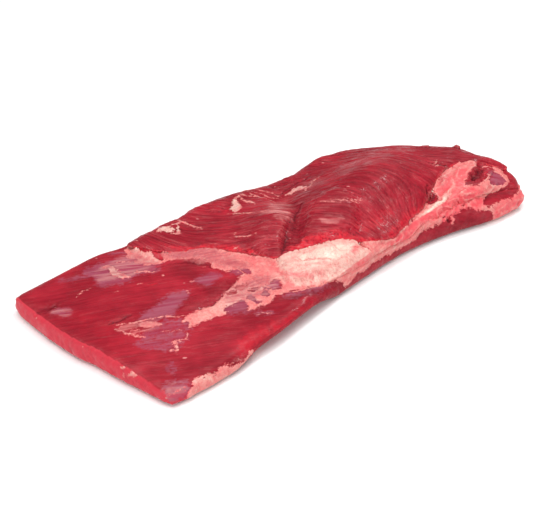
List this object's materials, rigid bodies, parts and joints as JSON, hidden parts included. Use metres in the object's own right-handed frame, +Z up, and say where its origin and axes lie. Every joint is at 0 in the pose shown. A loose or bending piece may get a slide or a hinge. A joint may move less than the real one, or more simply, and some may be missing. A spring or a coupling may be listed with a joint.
{
  "type": "raw beef brisket",
  "caption": "Raw trimmed beef brisket: a long thin flat muscle with a seam of fat and a domed point muscle over its thick end.",
  "frame": {"origin": "under the middle of the piece, at the level of what it lies on", "axes": "+X from the thin cut end to the thick end, +Y to the back edge, +Z up"},
  "size_m": [0.5206, 0.242, 0.0621],
  "materials": {
    "lean_flat": "moist",
    "seam_fat": "moist",
    "lean_point": "moist"
  },
  "bodies": {
    "root": {"flat_muscle": "lean_flat", "seam_fat": "seam_fat", "point_muscle": "lean_point"}
  },
  "joints": []
}
